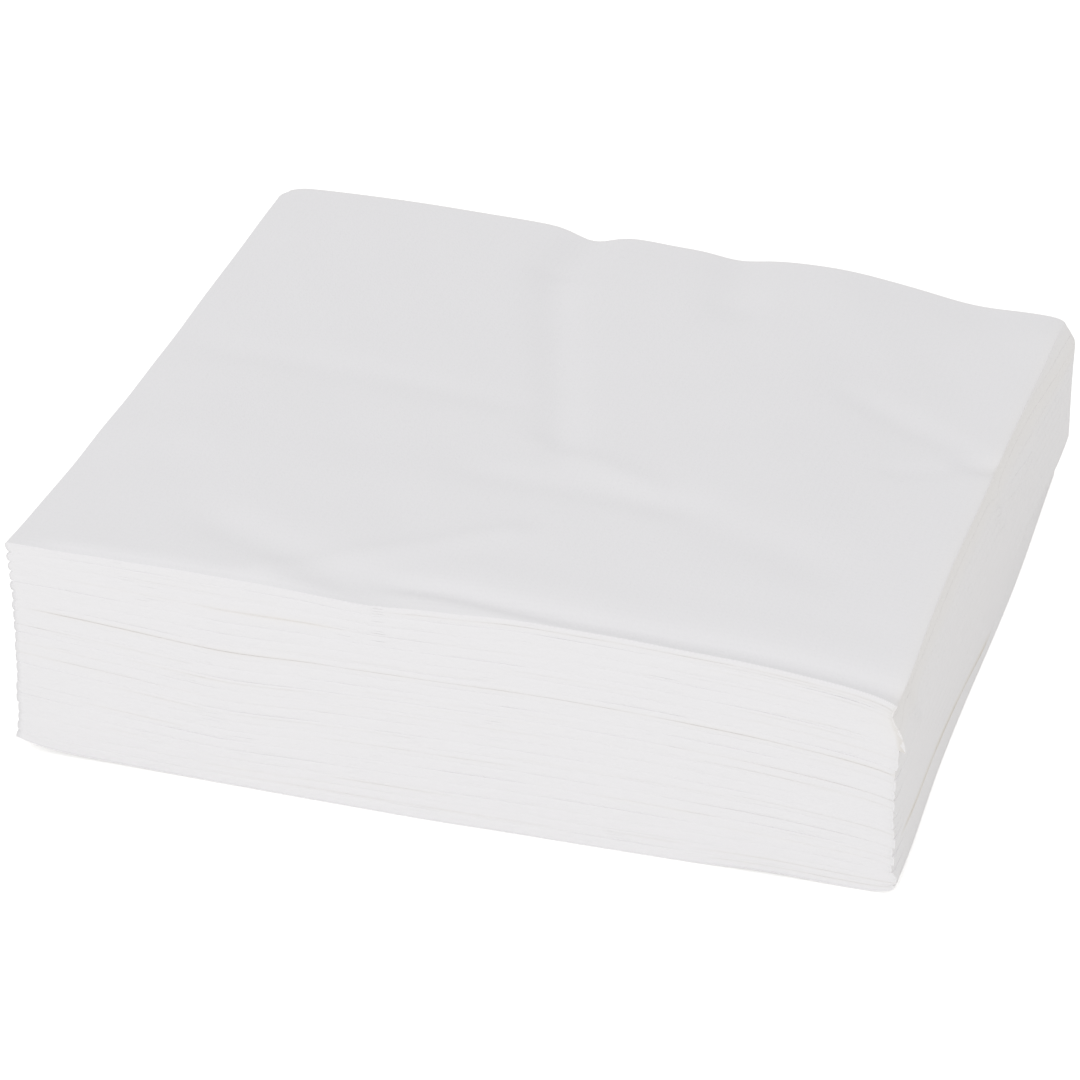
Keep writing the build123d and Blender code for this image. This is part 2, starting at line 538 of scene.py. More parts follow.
def quarter_fold_tree():
    """Node tree that folds a flat sheet in half and in half again.

    The sheet lies with both folds through its middle, and its Z is the way through the paper. Heights come
    out in layers: the four panels are stacked at half, one and a half, two and a half and three and a half.
    """
    tree = bpy.data.node_groups.new("Quarter fold", "GeometryNodeTree")
    sockets = tree.interface
    sockets.new_socket("Geometry", in_out="INPUT", socket_type="NodeSocketGeometry")
    sizes = {
        "Sheet thickness": SHEET_THICKNESS * MM,
        "First fold turn": FIRST_FOLD_TURN * MM,
        "First fold reach": FIRST_FOLD_REACH * MM,
        "Second fold turn": SECOND_FOLD_TURN * MM,
        "Second fold reach": SECOND_FOLD_REACH * MM,
        "Fold squareness": FOLD_SQUARENESS,
        "Layer height": MM,
        "Fold line X": HALF_SIDE * MM,
        "Fold line Y": HALF_SIDE * MM,
    }
    for name, value in sizes.items():
        socket = sockets.new_socket(name, in_out="INPUT", socket_type="NodeSocketFloat")
        socket.default_value = value
    sockets.new_socket("Material", in_out="INPUT", socket_type="NodeSocketMaterial")
    sockets.new_socket("Geometry", in_out="OUTPUT", socket_type="NodeSocketGeometry")
    given = tree.nodes.new("NodeGroupInput")
    size = {name: Field(tree, given.outputs[name]) for name in sizes}
    split = tree.nodes.new("ShaderNodeSeparateXYZ")
    tree.links.new(tree.nodes.new("GeometryNodeInputPosition").outputs["Position"], split.inputs["Vector"])
    across, along, through = (Field(tree, socket) for socket in split.outputs)

    def turn(distance, turn_length):
        """Rise and reach of a fold at a distance from its crease, and the length left flat past the fold."""
        angle = (distance / turn_length).math("MAXIMUM", -1.0).math("MINIMUM", 1.0) * (math.pi / 2)
        sine = angle.math("SINE")
        rise = sine.math("ABSOLUTE").math("POWER", size["Fold squareness"]) * sine.math("SIGN")
        reach = angle.math("COSINE").math("MAXIMUM", 0.0).math("POWER", size["Fold squareness"])
        flat = (distance.math("ABSOLUTE") - turn_length).math("MAXIMUM", 0.0)
        return rise, reach, flat

    rise, reach, flat = turn(along, size["First fold turn"])
    first_radius = through / size["Sheet thickness"] + SHEET_MIDDLE
    y = (size["Fold line Y"] - size["First fold reach"]
         + first_radius * size["First fold reach"] * reach - flat)
    second_radius = first_radius * rise + FIRST_FOLD_LEVEL
    rise, reach, flat = turn(across, size["Second fold turn"])
    x = (size["Fold line X"] - size["Second fold reach"] * SECOND_FOLD_LEVEL
         + second_radius * size["Second fold reach"] * reach - flat)
    layers = second_radius * rise + SECOND_FOLD_LEVEL
    place = tree.nodes.new("ShaderNodeCombineXYZ")
    for socket, value in zip(place.inputs, (x, y, layers * size["Layer height"])):
        join(tree, value, socket)
    fold = tree.nodes.new("GeometryNodeSetPosition")
    realize = tree.nodes.new("GeometryNodeRealizeInstances")
    finish = tree.nodes.new("GeometryNodeSetMaterial")
    result = tree.nodes.new("NodeGroupOutput")
    tree.links.new(given.outputs["Geometry"], fold.inputs["Geometry"])
    tree.links.new(place.outputs["Vector"], fold.inputs["Position"])
    tree.links.new(fold.outputs["Geometry"], realize.inputs["Geometry"])
    tree.links.new(realize.outputs["Geometry"], finish.inputs["Geometry"])
    tree.links.new(given.outputs["Material"], finish.inputs["Material"])
    tree.links.new(finish.outputs["Geometry"], result.inputs["Geometry"])
    return tree


def panel_grid(front, left, fold, widest):
    """Points of one panel as shares of its side, close together at its cut edges and folds.

    The panel is split in four again and again, until each square is as small as its place asks for.
    """
    size = SMALLEST_ROWS // FIRST_ROWS
    squares = np.array([(i, j) for i in range(FIRST_ROWS) for j in range(FIRST_ROWS)]) * size
    corners = []
    while len(squares):
        low = squares / SMALLEST_ROWS * SIDE
        high = (squares + size) / SMALLEST_ROWS * SIDE
        from_left, from_front = (SIDE - high).T
        from_fold = low.min(axis=1)
        wanted = np.minimum(front + STEP_GROWTH * from_front, left + STEP_GROWTH * from_left)
        wanted = np.minimum(wanted, fold + STEP_GROWTH * from_fold)
        wanted = np.minimum(wanted, widest)
        split = (size * SIDE / SMALLEST_ROWS > wanted * JUST_OVER) & (size > 1)
        kept = squares[~split]
        for quarter in QUARTERS:
            corners.append(kept + quarter * size)
        size //= 2
        squares = np.concatenate([squares[split] + quarter * size for quarter in QUARTERS])
    return np.unique(np.concatenate(corners), axis=0) / SMALLEST_ROWS


def fold_rows():
    """Rows of points across a fold, as shares of the length that bends."""
    return np.linspace(-1, 1, FOLD_ROWS + 1)[1:-1]


def open_sheet(turns, finest, widest, shown_widest):
    """Points of the open sheet and the triangles between them.

    The panel that ends up on top of the napkin may have closer points than the others.
    """
    side = SIDE * MM
    second_turn, first_turn = turns
    fold_step = min(MIDDLE_STEP, shown_widest)
    plain = panel_grid(finest, MIDDLE_STEP, fold_step, widest)
    fine = panel_grid(finest, MIDDLE_STEP, fold_step, shown_widest)
    places = []
    on_second = set()
    on_first = set()
    for sign_a in (-1, 1):
        for sign_b in (-1, 1):
            grid = fine if sign_a > 0 and sign_b > 0 else plain
            a = sign_a * (second_turn + grid[:, 0] * (side - second_turn))
            b = sign_b * (first_turn + grid[:, 1] * (side - first_turn))
            places.append(np.stack([a, b], axis=1))
            on_second.update(b[grid[:, 0] == 0])
            on_first.update(a[grid[:, 1] == 0])
    across = np.array(sorted(on_first))
    along = np.array(sorted(on_second))
    rows = fold_rows()
    for share in rows:
        places.append(np.stack([np.full(len(along), share * second_turn), along], axis=1))
        places.append(np.stack([across, np.full(len(across), share * first_turn)], axis=1))
        places.append(np.stack([rows * second_turn, np.full(len(rows), share * first_turn)], axis=1))
    places = np.unique(np.round(np.concatenate(places), PLACE_DIGITS), axis=0)
    found = delaunay_2d_cdt([Vector(place) for place in places], [], [], 0, PLACE_SLACK)
    return np.array([tuple(place) for place in found[0]]), np.array(found[2])


def cut_edges(triangles):
    """Edges of the sheet that only one triangle has."""
    edges = {}
    for corner in range(3):
        for start, end in zip(triangles[:, corner], triangles[:, (corner + 1) % 3]):
            edges[(start, end)] = True
    return [(start, end) for start, end in edges if (end, start) not in edges]


def add_values(mesh, name, values):
    """Gives each point of a mesh a value under a name."""
    mesh.attributes.new(name, "FLOAT", "POINT").data.foreach_set("value", values.astype(np.float32))


def flat_sheet(name, thickness, turns, finest, widest, shown_widest):
    """Mesh of the open sheet, a thin closed slab with a soft rounded cut edge, marked with its own places."""
    places, triangles = open_sheet(turns, finest, widest, shown_widest)
    side = SIDE * MM
    second_turn = turns[0]
    count = len(places)
    rim = cut_edges(triangles)
    rim_points = sorted({point for edge in rim for point in edge})
    middle = {point: 2 * count + number for number, point in enumerate(rim_points)}
    from_cut = (side - np.abs(places).max(axis=1)) / MM
    from_fold = np.abs(places).min(axis=1) / MM
    near_edge = np.exp(-(np.minimum(from_cut, from_fold) / EDGE_SHARE_REACH) ** 2)
    half_share = INNER_SHARE + EDGE_SHARE * near_edge
    half_share[rim_points] = RIM_SHARE
    bulge = places[rim_points] * (1 + RIM_BULGE * MM / side)
    flat = np.concatenate([places, places, bulge])
    through = np.concatenate([half_share, -half_share, np.zeros(len(rim_points))])
    faces = triangles.tolist() + (triangles[:, ::-1] + count).tolist()
    for start, end in rim:
        faces.append((end, start, middle[start], middle[end]))
        faces.append((middle[end], middle[start], start + count, end + count))
    points = np.column_stack([flat, through * thickness])
    mesh = bpy.data.meshes.new(name)
    mesh.from_pydata(points.tolist(), [], faces)
    mesh.polygons.foreach_set("use_smooth", np.ones(len(faces), bool))
    marks = mesh.attributes.new("sheet", "FLOAT_VECTOR", "POINT")
    marks.data.foreach_set("vector", np.column_stack([flat, through * MM]).astype(np.float32).ravel())
    side_of_rim = np.zeros(len(points), int)
    side_of_rim[rim_points] = 1
    side_of_rim[np.array(rim_points) + count] = 2
    rows = fold_rows()
    first_row = second_turn * rows[rows > 0].min()
    on_lip = np.isclose(np.abs(flat[:, 0]), first_row, rtol=0, atol=LIP_SLACK)
    ends = np.empty(2 * len(mesh.edges), np.int32)
    mesh.edges.foreach_get("vertices", ends)
    ends = ends.reshape(-1, 2)
    start, end = side_of_rim[ends].T
    sharp = mesh.attributes.new("sharp_edge", "BOOLEAN", "EDGE")
    sharp.data.foreach_set("value", on_lip[ends].all(axis=1) | (start > 0) & (start == end))
    at_rim = side_of_rim > 0
    at_rim[2 * count:] = True
    add_values(mesh, "pressed", at_rim | (np.abs(flat[:, 0]) < JUST_OVER * second_turn))
    return mesh


def smooth_step(share):
    """Zero up to 0 and one from 1, with a soft change between them."""
    share = np.clip(share, 0, 1)
    return share * share * (3 - 2 * share)


def profile(points, where, softness=LINE_SOFTNESS):
    """A soft line through measured points, read at the places given."""
    run = np.arange(-LINE_REACH, LINE_REACH + LINE_STEP, LINE_STEP)
    line = np.interp(run, *np.array(points, float).T)
    weight = np.exp(-0.5 * (np.arange(-LINE_TAIL, LINE_TAIL + 1) * LINE_STEP / softness) ** 2)
    padded = np.pad(line, LINE_TAIL, mode="edge")
    return np.interp(where, run, np.convolve(padded, weight / weight.sum(), "valid"))


def waves(where, length, seed):
    """A smooth uneven wave between about -1 and 1, with its own seed."""
    draw = np.random.default_rng(seed)
    total = np.zeros_like(where)
    for _ in range(WAVE_COUNT):
        wave_length = length * draw.uniform(*WAVE_LENGTHS)
        start = draw.uniform(0, 2 * math.pi)
        total += np.sin(2 * math.pi * where / wave_length + start)
    return total / (WAVE_SUM * WAVE_COUNT)


def crease(x, y, start, end, height, width):
    """Height of a soft crease that runs from start to end and dies away past its ends."""
    start = np.array(start, float)
    run = np.array(end, float) - start
    length = np.hypot(*run)
    run /= length
    along = (x - start[0]) * run[0] + (y - start[1]) * run[1]
    aside = (y - start[1]) * run[0] - (x - start[0]) * run[1]
    past = np.maximum(np.maximum(-along, along - length), 0)
    return height * np.exp(-(aside / width) ** 2 - (past / (CREASE_END * width)) ** 2)


def top_of_stack(x, y):
    """Height of the whole stack, spanned between the heights of its four edges."""
    u = np.clip((x + HALF_SIDE) / SIDE, 0, 1)
    v = np.clip((y + HALF_SIDE) / SIDE, 0, 1)
    front = profile(FRONT_HEIGHTS, x)
    back = profile(BACK_HEIGHTS, x)
    left = profile(LEFT_HEIGHTS, y)
    right = profile(RIGHT_HEIGHTS, y)
    corners = ((1 - u) * ((1 - v) * FRONT_HEIGHTS[0][1] + v * BACK_HEIGHTS[0][1])
               + u * ((1 - v) * FRONT_HEIGHTS[-1][1] + v * BACK_HEIGHTS[-1][1]))
    return (1 - v) * front + v * back + (1 - u) * left + u * right - corners


def top_shape(x, y):
    """How the paper of the top napkins stands up or sinks: creases, the front lip and soft corners."""
    total = np.zeros_like(x)
    for values in TOP_CREASES:
        total += crease(x, y, *values)
    from_front = y + HALF_SIDE
    on_lip = smooth_step((x - LIP_START) / LIP_RUN)
    valley = profile(LIP_VALLEY, x)
    for offset, height, width in LIP_SHAPE:
        total += on_lip * height * np.exp(-((from_front - np.maximum(valley + offset, 0)) / width) ** 2)
    for corner_x, corner_y, drop, reach in SOFT_CORNERS:
        total -= drop * np.exp(-np.hypot(x - corner_x, y - corner_y) / reach)
    total += sum(
        TOP_WAVE_HEIGHT * waves(x * across + y * along, length, seed)
        for across, along, length, seed in TOP_WAVES
    )
    return total


def window(where, start, end):
    """One between start and end, with soft ends."""
    soft = min(GAP_END, GAP_END_SHARE * (end - start))
    return smooth_step((where - start) / soft) * smooth_step((end - where) / soft)


def gap_lift(order, opening, layer):
    """Moves the layers above a gap up and those below it down, less and less away from the gap."""
    away = (order - layer) / LEVELS
    above = LIFT_ABOVE * np.exp(-np.maximum(away, 0) / LIFT_FADE)
    below = -LIFT_BELOW * np.exp(np.minimum(away, 0) / LIFT_FADE)
    return opening * np.where(away > 0, above, below)


def round_corner(x, y, side_x, side_y, radius):
    """Rounds one upright corner of the stack in plan."""
    out_x = side_x * x - (HALF_SIDE - radius)
    out_y = side_y * y - (HALF_SIDE - radius)
    near = (out_x > 0) & (out_y > 0)
    reach = np.hypot(out_x[near], out_y[near])
    scale = np.maximum(out_x[near], out_y[near]) / reach
    x[near] = side_x * (HALF_SIDE - radius + out_x[near] * scale)
    y[near] = side_y * (HALF_SIDE - radius + out_y[near] * scale)


class LaidNapkin:
    """One folded napkin on its way to its place in the stack, in millimetres.

    x, y and z are its points, and level is their height in layers, before they are pressed together. a and b
    are their places on the open sheet, and through is the way through the paper. warm and dark are how much
    painted warm shade and painted dark shade they take, in the gaps and in the hollows of the wall and the
    ear.
    """

    def __init__(self, points, sheet, index, settings):
        self.x, self.y, self.level = points.T.copy()
        self.a, self.b, self.through = sheet.T
        self.index = index
        self.first_level = PANELS * index
        self.seed = settings.seed
        self.ripple = settings.ripple
        self.openness = settings.openness
        from_second = np.abs(self.a)
        from_first = np.abs(self.b)
        self.from_front = SIDE - from_first
        self.from_left = SIDE - from_second
        self.past_second = smooth_step((from_second - SECOND_FOLD_TURN) / FOLD_HOLD)
        self.past_first = smooth_step((from_first - FIRST_FOLD_TURN) / FOLD_HOLD)
        self.panel = np.where(self.a < 0, np.where(self.b > 0, 0, 1), np.where(self.b > 0, 3, 2))
        for corner in ROUNDED_CORNERS:
            round_corner(self.x, self.y, *corner)
        self.home_x = self.x.copy()
        self.home_y = self.y.copy()
        self.from_wall = np.maximum(HALF_SIDE - self.home_x, 0)
        bent = (from_second < SECOND_FOLD_TURN + FOLD_MARGIN) | (from_first < FIRST_FOLD_TURN + FOLD_MARGIN)
        in_fold = np.clip(self.level, FOLD_CLEARANCE, PANELS - FOLD_CLEARANCE)
        self.order = self.first_level + np.where(bent, in_fold, self.panel + SHEET_MIDDLE)
        self.warm = np.zeros_like(self.x)
        self.dark = np.zeros_like(self.x)

    def lay(self):
        """Takes each step in turn and returns the points in their place."""
        self.draw_in_edges()
        self.ripple_edges()
        self.raise_layers()
        self.open_gaps()
        self.crease_top()
        self.slide()
        self.shape_wall()
        if self.index in EAR_NAPKINS:
            self.turn_out_ear()
        return np.column_stack([self.x, self.y, np.maximum(self.z, LEAST_HEIGHT)])

    def draw_in_edges(self):
        """Draws in the outer layers at the cut edges and at the front ends of the closed folds."""
        draw = np.random.default_rng(self.seed + self.index)
        self.slip_x, self.slip_y, self.turn = draw.uniform(-1, 1, 3)
        tip = 1 - np.sqrt(1 - np.clip(self.level / SECOND_FOLD_LEVEL - 1, -1, 1) ** 2)
        if self.index == len(NODES) - 1:
            tip[self.panel == PANELS - 1] *= TOP_PANEL_SHARE
        higher = smooth_step((self.index - SCALLOP_FROM) / SCALLOP_RUN)
        scallop = draw.uniform(*SCALLOP_RANGE) * (SCALLOP_LOW + SCALLOP_GAIN * higher)
        self.x += scallop * tip * np.exp(-self.from_left / EDGE_FADE) * self.past_first
        notch = draw.uniform(*NOTCH_RANGE)
        jut = draw.uniform(*JUT_RANGE)
        if self.index < EAR_NAPKINS[0] - 1:
            fold_end = np.exp(-self.from_front / EDGE_FADE - self.from_wall / EDGE_FADE)
            self.x += (jut - notch * tip) * fold_end
        start, run = PLUMP_LEFT
        uneven = waves(self.home_x, PLUMP_WAVE, self.seed + PLUMP_SEED * self.index)
        plump = PLUMP + PLUMP_GAIN * np.clip(uneven + PLUMP_BIAS, 0, 1)
        plump *= PLUMP_LEFT_SHARE + (1 - PLUMP_LEFT_SHARE) * smooth_step((self.home_x - start) / run)
        self.y += plump * tip * np.exp(-self.from_front / EDGE_FADE) * self.past_second

    def ripple_edges(self):
        """Slips each panel a little, and thins and lifts its cut edges in places."""
        for number in range(PANELS):
            own = self.panel == number
            key = self.seed + PANEL_SEED * (self.first_level + number)
            slips = np.random.default_rng(key).uniform(-PANEL_SLIP, PANEL_SLIP, 2)
            for where, edge, past_fold, moved, slip, axis in (
                (self.home_x, self.from_front, self.past_second, self.y, slips[0], 1),
                (self.home_y, self.from_left, self.past_first, self.x, slips[1], 0),
            ):
                run = where[own]
                wander = slip
                for height, length, step in PANEL_WAVES:
                    wander = wander + height * waves(run, length, key + step + axis)
                moved[own] += wander * (np.exp(-edge[own] / PANEL_FADE) * past_fold[own])
                length, step = CLUSTER_WAVE
                cluster = waves(run, length, self.seed + step * (self.index // CLUSTER_NAPKINS) + axis)
                length, step = THIN_WAVE
                thin_place = waves(run, length, key + step + axis)
                thin = self.ripple * RIPPLE_HEIGHT * np.clip(cluster + RIPPLE_BIAS, 0, 1)
                thin *= np.clip(thin_place + RIPPLE_BIAS, 0, 1)
                thin *= np.exp(-(edge[own] / RIPPLE_FADE)) * past_fold[own]
                length, step = LIFT_WAVE
                lift = thin * np.clip(waves(run, length, key + step + axis), -1, 1)
                self.level[own] += lift - 2 * self.through[own] * thin

    def raise_layers(self):
        """Gives each point its height, by its share of the layers and the lie of the stack."""
        self.share = (self.first_level + self.level) / LEVELS
        self.height = top_of_stack(self.x, self.y)
        self.from_tip = np.hypot(self.x + CORNER, self.y + CORNER)
        share = self.share
        from_right = HALF_SIDE - self.x
        from_front = self.y + HALF_SIDE
        self.inside = smooth_step(from_right / WALL_HOLD)
        near_front = np.exp(-(from_front / SAG_FADE) ** 2)
        sag = profile(LAYER_SAG, self.x, SAG_SOFTNESS) / LEVELS * (SAG_BEHIND + (1 - SAG_BEHIND) * near_front)
        dip = profile(WALL_DIP, self.y) * np.exp(-np.maximum(from_right, 0) / WALL_DIP_FADE)
        dip *= np.minimum(share / WALL_DIP_SHARE, (1 - share) / (1 - WALL_DIP_SHARE))
        # The sag is greatest halfway up, where 4 * share * (1 - share) is one
        self.z = self.height * (share + sag * 4 * share * (1 - share) - dip)
        lift = sum(rise * np.exp(-self.from_tip / reach) for rise, reach in TIP_LIFTS)
        self.z += (1 - share) ** TIP_LIFT_FADE * lift
        rise, upwards, inwards, backwards = FOOT_LIFT
        self.z += rise * np.exp(-share / upwards - from_right / inwards - from_front / backwards)
        depth, inwards, backwards, over = CORNER_SINK
        self.z -= depth * np.exp(-from_right / inwards - from_front / backwards) * smooth_step(share / over)
        rise, fade, middle, width, backwards = LOW_SWELL
        swell = np.exp(-((self.x - middle) / width) ** 2 - from_front / backwards)
        self.z += rise * (1 - share) ** fade * swell

    def open_gaps(self):
        """Opens the gaps between layers and the nicks, and paints shade on their lips."""
        x = self.x
        y = self.y
        for gaps, along, away, warm_layers in (
            (FRONT_GAPS, x, y + HALF_SIDE, WARM_LAYERS),
            (LEFT_GAPS, y, x + HALF_SIDE, WARM_LAYERS),
            (RIGHT_GAPS, y, HALF_SIDE - x, WALL_WARM_LAYERS),
            (BACK_GAPS, x, HALF_SIDE - y, WARM_LAYERS),
        ):
            fade = np.exp(-np.maximum(away, 0) / GAP_DEPTH)
            for layer, start, end, opening in gaps:
                uneven = 1.0 + GAP_UNEVEN * waves(along, GAP_WAVE, self.seed + layer)
                reach = self.openness * opening * uneven * window(along, start, end) * fade
                self.z += gap_lift(self.order, reach, layer)
                # The lips of the gap take painted warm shade and painted dark shade, standing in for the
                # shade inside it
                near = np.exp(-np.abs(self.order - layer) / warm_layers)
                self.warm = np.maximum(self.warm, np.minimum(GAP_WARM_SHADE * reach, MOST_WARM_SHADE) * near)
                lips = np.exp(-((self.first_level + self.level - layer) / DARK_SHADE_LAYERS) ** 2)
                self.dark = np.maximum(self.dark, np.minimum(GAP_DARK_SHADE * reach, MOST_DARK_SHADE) * lips)
        nick = NICK_OPENING * window(x, NICK_MIDDLE - NICK_HALF_LENGTH, NICK_MIDDLE + NICK_HALF_LENGTH)
        nick *= np.exp(-np.maximum(y + HALF_SIDE, 0) / NICK_DEPTH)
        for layer in NICKED_LAYERS:
            self.z += gap_lift(self.order, nick, layer)

    def crease_top(self):
        """Shapes the top napkins and lets their front edge fall off on the left."""
        start, run = TOP_SHARE
        self.z += top_shape(self.x, self.y) * smooth_step((self.share - start) / run)
        depth, reach = EDGE_FALL
        start, run = EDGE_FALL_SHARE
        fall = depth * np.exp(-(self.from_front / reach) ** 2) * smooth_step((self.share - start) / run)
        start, run = EDGE_FALL_RIGHT
        fall *= smooth_step((start - self.x) / run)
        start, run = EDGE_FALL_LEFT
        fall *= smooth_step((self.x - start) / run)
        self.z -= fall

    def slide(self):
        """Slips and turns the napkin, and slides it with the stack."""
        share = self.share
        across, along = NAPKIN_TURN
        slip_across, slip_along = NAPKIN_SLIP
        self.y += slip_along * self.slip_y + along * self.turn * self.x
        self.x += slip_across * self.slip_x * self.inside - across * self.turn * self.y * self.inside
        length, start, run = UPPER_SLIDE
        self.x -= length * smooth_step((share - start) / run) * self.inside
        length, start, run, reach = TOP_TIP_SLIDE
        self.x -= length * smooth_step((share - start) / run) * np.exp(-self.from_tip / reach)
        length, upwards, reach = LOW_TIP_SLIDE
        self.x -= length * np.exp(-share / upwards - self.from_tip / reach)
        length, fade = FRONT_SPREAD
        spread = length * (1 - share) ** fade
        start, run = FRONT_SPREAD_RIGHT
        spread *= smooth_step((self.x - start) / run)
        start, run = FRONT_SPREAD_FRONT
        spread *= smooth_step((start - self.y) / run)
        self.y -= spread

    def shape_wall(self):
        """Shapes the wall of closed folds: waves, hollow, foot, bulge, pleats and a low ear."""
        y = self.y
        z = self.z
        wall = np.exp(-np.maximum(HALF_SIDE - self.x, 0) / WALL_REACH)
        on_folds = np.exp(-self.from_wall / FOLD_REACH)
        below_top = self.height - z
        height, slant, length, step = WALL_WAVES
        start, run = WALL_WAVES_FROM
        shape = height * waves(y + slant * z, length, self.seed + step) * smooth_step((z - start) / run)
        depth, middle, width = WALL_HOLLOW
        start, run = WALL_HOLLOW_END
        shape -= depth * np.exp(-((below_top - middle) / width) ** 2) * smooth_step((start - y) / run)
        swell = sum(rise * np.exp(-((y - middle) / width) ** 2) for rise, middle, width in FOOT_SWELLS)
        shape += (1 - self.share) ** FOOT_SWELL_FADE * swell
        self.x += wall * shape
        bulge = wall * WALL_BULGE
        for where, (start, run) in ((y, WALL_BULGE_BACK), (z, WALL_BULGE_UP), (below_top, WALL_BULGE_BELOW)):
            bulge *= smooth_step((where - start) / run)
        self.x += bulge
        # Painted warm shade in the hollow under the top of the wall
        most, middle, width = WALL_WARM_SHADE
        self.warm = np.maximum(self.warm, most * on_folds * np.exp(-((below_top - middle) / width) ** 2))
        for pleat in WALL_PLEATS:
            self.x += on_folds * crease(y, z, *pleat)
        reach, middle, width, ahead, backwards, inwards = LOW_EAR
        low_ear = reach * np.exp(-((self.share - middle) / width) ** 2 - (y + HALF_SIDE + ahead) / backwards)
        self.x += low_ear * np.exp(-self.from_wall / inwards)

    def turn_out_ear(self):
        """Lets the closed fold stand out and hang at the front corner, with painted shade in the hollow at
        its end.
        """
        ear_top = PANELS * (EAR_NAPKINS[-1] + 1)
        hang = (ear_top - self.first_level - self.level) / (PANELS * len(EAR_NAPKINS))
        backwards, inwards = EAR_FADE
        fade = np.exp(-self.from_front / backwards - self.from_wall / inwards)
        pull = EAR_REACH * hang ** EAR_CHANGE * fade
        self.x += pull
        self.z -= EAR_DROP * pull
        # Painted shade in the hollow at the end of the fold
        from_fold = np.abs(self.a)
        hollow = (from_fold > EAR_HOLLOW_START) & (from_fold < SECOND_FOLD_TURN + FOLD_MARGIN)
        hollow &= self.from_front < EAR_HOLLOW_DEPTH
        self.dark = np.maximum(self.dark, EAR_HOLLOW_SHADE * hang * hollow)


def depth_shade(marks, index):
    """How much painted warm shade the paper takes by its place: more inside a napkin than at its edges."""
    a, b, through = marks.T
    from_cut = SIDE - np.abs(marks[:, :2]).max(axis=1)
    from_fold = np.abs(marks[:, :2]).min(axis=1)
    # Painted warm shade grows away from the cut edges, deeper between the layers where less light reaches
    deep = smooth_step((from_cut - DEEP_START) / DEEP_RUN)
    if index == len(NODES) - 1:
        deep[(a > 0) & (b > 0)] = 0
    if index == 0:
        deep[(a < 0) & (b > 0)] = 0
    # The outer faces of the folds take a little of the painted warm shade
    deep[(from_fold < SECOND_FOLD_TURN + FOLD_MARGIN) & (through > 0)] = FOLD_WARM_SHADE
    return deep


def tissue_group():
    """Shader group of the tissue: its mottled shade and its height, from places on the open sheet."""
    group = bpy.data.node_groups.new("Tissue", "ShaderNodeTree")
    sockets = group.interface
    sockets.new_socket("Sheet", in_out="INPUT", socket_type="NodeSocketVector")
    for name in ("Pressed", "Dot pitch", "Dot height", "Fibre height"):
        sockets.new_socket(name, in_out="INPUT", socket_type="NodeSocketFloat")
    sockets.new_socket("Shade", in_out="OUTPUT", socket_type="NodeSocketFloat")
    sockets.new_socket("Height", in_out="OUTPUT", socket_type="NodeSocketFloat")
    given = group.nodes.new("NodeGroupInput")
    result = group.nodes.new("NodeGroupOutput")

    def noise(scale, detail):
        """Noise over the sheet, about zero."""
        node = group.nodes.new("ShaderNodeTexNoise")
        node.noise_dimensions = "3D"
        node.inputs["Scale"].default_value = scale
        node.inputs["Detail"].default_value = detail
        group.links.new(given.outputs["Sheet"], node.inputs["Vector"])
        return Field(group, node.outputs["Fac"]) - NOISE_MIDDLE

    split = group.nodes.new("ShaderNodeSeparateXYZ")
    group.links.new(given.outputs["Sheet"], split.inputs["Vector"])
    pitch = Field(group, given.outputs["Dot pitch"])
    across = Field(group, split.outputs[0]) / pitch * (2 * math.pi)
    along = Field(group, split.outputs[1]) / pitch * (2 * math.pi)
    dots = (across + along).math("SINE") * (across - along).math("SINE")
    dots = dots.math("MAXIMUM", 0.0) * Field(group, given.outputs["Dot height"])
    flat = Field(group, given.outputs["Pressed"]) * -PRESSED_FLAT + 1.0
    fibres = noise(*FIBRE_NOISE) * Field(group, given.outputs["Fibre height"]) * flat
    shade = noise(*CLOUD_NOISE) * CLOUD_TONE + noise(*GRAIN_NOISE) * GRAIN_TONE + NOISE_MIDDLE
    group.links.new((dots + fibres).socket, result.inputs["Height"])
    group.links.new(shade.socket, result.inputs["Shade"])
    return group


def tissue_material(settings):
    """White tissue paper with pressed dots and soft fibres, painted warm shade deep between the layers and
    painted dark shade on the lips of the gaps.
    """
    material = bpy.data.materials.new("White tissue")
    material.use_nodes = True
    tree = material.node_tree
    shader = tree.nodes["Principled BSDF"]
    tissue = tree.nodes.new("ShaderNodeGroup")
    tissue.node_tree = tissue_group()
    join(tree, attribute(tree, "sheet", "Vector"), tissue.inputs["Sheet"])
    join(tree, attribute(tree, "pressed", "Fac"), tissue.inputs["Pressed"])
    tissue.inputs["Dot pitch"].default_value = settings.dot_pitch
    tissue.inputs["Dot height"].default_value = settings.dot_height
    tissue.inputs["Fibre height"].default_value = settings.fibre_height
    darkest, palest = (opaque(settings.paper_colour, tone) for tone in TISSUE_TONES)
    colour = mix(tree, Field(tree, tissue.outputs["Shade"]), darkest, palest)
    # Painted warm shade from the depth values, and painted dark shade from the gap values
    colour = mix(tree, attribute(tree, "depth", "Fac"), colour, opaque(settings.inside_shade_colour))
    colour = mix(tree, attribute(tree, "gap", "Fac"), colour, opaque(settings.gap_shade_colour))
    join(tree, colour, shader.inputs["Base Color"])
    bump = tree.nodes.new("ShaderNodeBump")
    bump.inputs["Strength"].default_value = 1.0
    bump.inputs["Distance"].default_value = 1.0
    tree.links.new(tissue.outputs["Height"], bump.inputs["Height"])
    tree.links.new(bump.outputs["Normal"], shader.inputs["Normal"])
    set_plain(shader, TISSUE_FINISH)
    return material


def read_vectors(data, name):
    """Vectors that a mesh holds, in millimetres."""
    values = np.empty(len(data) * 3, np.float32)
    data.foreach_get(name, values)
    return values.reshape(-1, 3).astype(float) / MM


